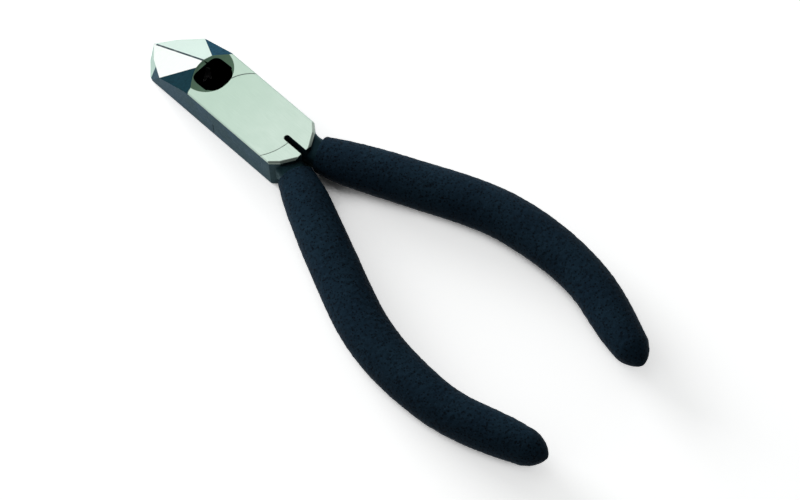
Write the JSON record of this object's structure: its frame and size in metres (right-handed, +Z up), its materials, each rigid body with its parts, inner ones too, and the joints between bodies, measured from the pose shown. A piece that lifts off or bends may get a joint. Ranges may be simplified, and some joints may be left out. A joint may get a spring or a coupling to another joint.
{
  "type": "sprue nippers",
  "caption": "Hand nippers with a lapped scissor joint, flush-ground slanting jaws, a relief hollow behind the cutting edges and two bowed textured sleeve grips.",
  "frame": {"origin": "where the pivot axis meets the flat underside of the head", "axes": "+Y forward to the jaw tip, +Z up along the pivot axis, +X to the right-hand handle"},
  "size_m": [0.0504, 0.1255, 0.0087],
  "materials": {
    "blued_steel": "blued forged sides with ground bright top and facets",
    "ground_steel": "ground flush",
    "grip_vinyl": "matt, fine pebbled texture"
  },
  "bodies": {
    "upper_half_body": {"upper_half": "blued_steel", "pivot_rivet": "ground_steel", "right_grip": "grip_vinyl"},
    "lower_half_body": {"lower_half": "blued_steel", "left_grip": "grip_vinyl"}
  },
  "joints": [
    {"name": "pivot_hinge", "type": "hinge", "parent": "upper_half_body", "child": "lower_half_body", "pos_m": [0, 0, 0], "axis": [0, 0, -1], "range_deg": [0, 25]}
  ]
}
